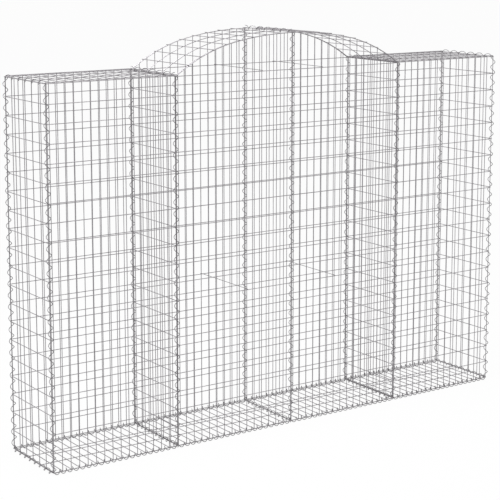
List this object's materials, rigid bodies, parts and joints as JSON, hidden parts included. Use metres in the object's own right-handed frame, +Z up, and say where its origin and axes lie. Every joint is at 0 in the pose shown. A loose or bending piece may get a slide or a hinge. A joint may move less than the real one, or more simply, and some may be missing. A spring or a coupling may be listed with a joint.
{
  "type": "gabion wall",
  "caption": "Empty gabion wall basket of welded wire mesh, laced with wire spirals, with cross walls, floor, flat end lids and an arched lid in the middle.",
  "frame": {"origin": "middle of the footprint, at the level that the bottom spirals rest on", "axes": "+X along the wall towards the right end, -Y towards the front that the picture shows, +Z up"},
  "size_m": [3.034, 0.499, 2.2317],
  "materials": {
    "mesh_wire": "galvanised, dull grey zinc",
    "spiral_wire": "galvanised, dull grey zinc",
    "tie_wire": "galvanised, dull grey zinc"
  },
  "bodies": {
    "root": {"front_left_panel": "mesh_wire", "front_mid_left_panel": "mesh_wire", "front_mid_right_panel": "mesh_wire", "front_right_panel": "mesh_wire", "back_left_panel": "mesh_wire", "back_mid_left_panel": "mesh_wire", "back_mid_right_panel": "mesh_wire", "back_right_panel": "mesh_wire", "left_end_panel": "mesh_wire", "right_end_panel": "mesh_wire", "left_divider": "mesh_wire", "right_divider": "mesh_wire", "floor_left": "mesh_wire", "floor_mid_left": "mesh_wire", "floor_mid_right": "mesh_wire", "floor_right": "mesh_wire", "left_lid": "mesh_wire", "right_lid": "mesh_wire", "arch_lid_left": "mesh_wire", "arch_lid_right": "mesh_wire", "spiral_front_left_corner": "spiral_wire", "spiral_front_left_divider": "spiral_wire", "spiral_front_seam": "spiral_wire", "spiral_front_right_divider": "spiral_wire", "spiral_front_right_corner": "spiral_wire", "spiral_back_left_corner": "spiral_wire", "spiral_back_left_divider": "spiral_wire", "spiral_back_seam": "spiral_wire", "spiral_back_right_divider": "spiral_wire", "spiral_back_right_corner": "spiral_wire", "bottom_front_spirals": "spiral_wire", "bottom_back_spirals": "spiral_wire", "floor_left_end_spiral": "spiral_wire", "floor_left_divider_spiral": "spiral_wire", "floor_seam_spiral": "spiral_wire", "floor_right_divider_spiral": "spiral_wire", "floor_right_end_spiral": "spiral_wire", "left_lid_end_spiral": "spiral_wire", "left_lid_divider_spiral": "spiral_wire", "arch_lid_seam_spiral": "spiral_wire", "right_lid_divider_spiral": "spiral_wire", "right_lid_end_spiral": "spiral_wire", "lower_ties": "tie_wire", "upper_ties": "tie_wire"}
  },
  "joints": []
}
